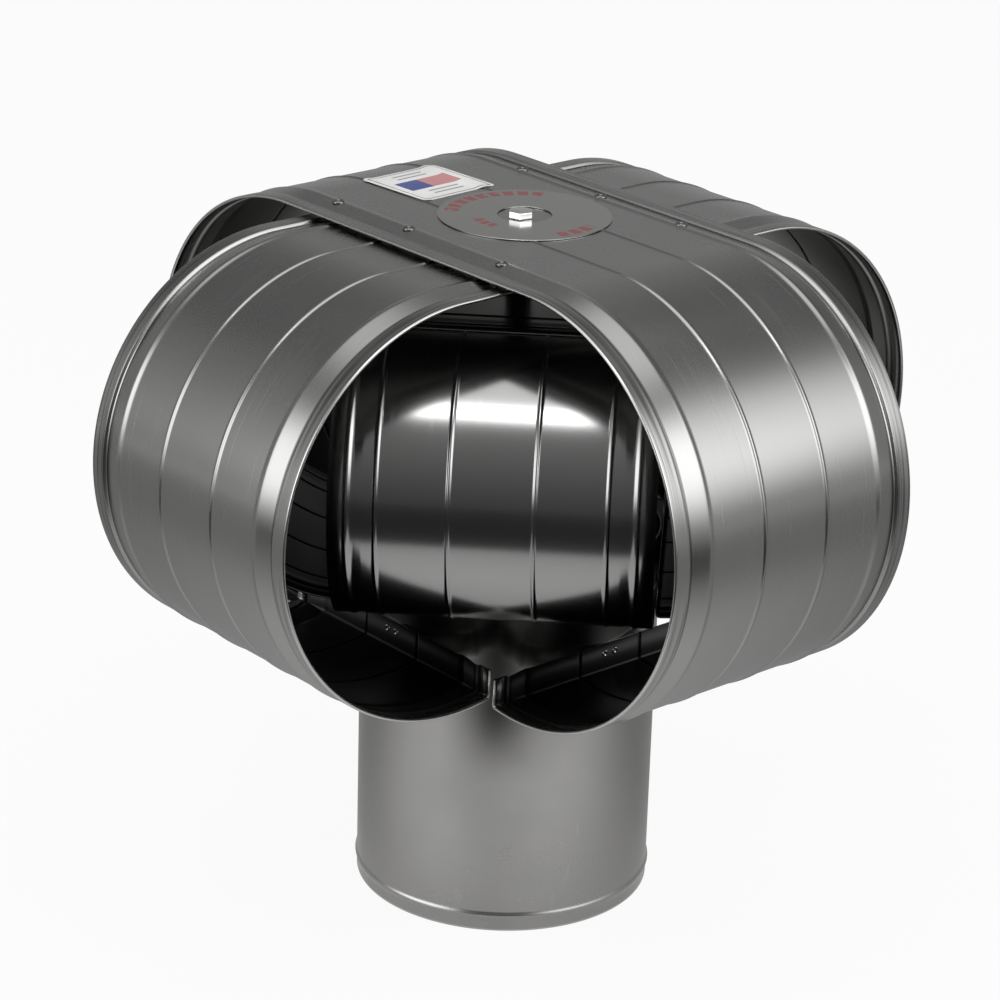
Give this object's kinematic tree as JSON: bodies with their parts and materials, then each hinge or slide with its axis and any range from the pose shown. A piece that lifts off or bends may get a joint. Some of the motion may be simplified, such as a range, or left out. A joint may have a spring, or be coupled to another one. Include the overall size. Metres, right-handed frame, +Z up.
{
  "type": "chimney cap",
  "caption": "Wind-proof chimney cap of crossed, curled steel bands on a round collar, with side outlets behind inner bands that shed wind and rain.",
  "frame": {"origin": "middle of the collar's lower edge", "axes": "+Z up along the flue; inner bands along X and Y, outer bands along the diagonals"},
  "size_m": [0.3942, 0.3942, 0.3581],
  "materials": {
    "collar_steel": "rolled, satin",
    "band_steel": "rolled, satin",
    "inner_steel": "bright rolled",
    "fastener_steel": "bright zinc"
  },
  "bodies": {
    "root": {"collar": "collar_steel", "outer_band_upper": "band_steel", "outer_band_lower": "band_steel", "inner_band_upper": "inner_steel", "inner_band_lower": "inner_steel", "spacer_tube": "fastener_steel", "centre_bolt": "fastener_steel", "hex_nut": "fastener_steel"}
  },
  "joints": []
}
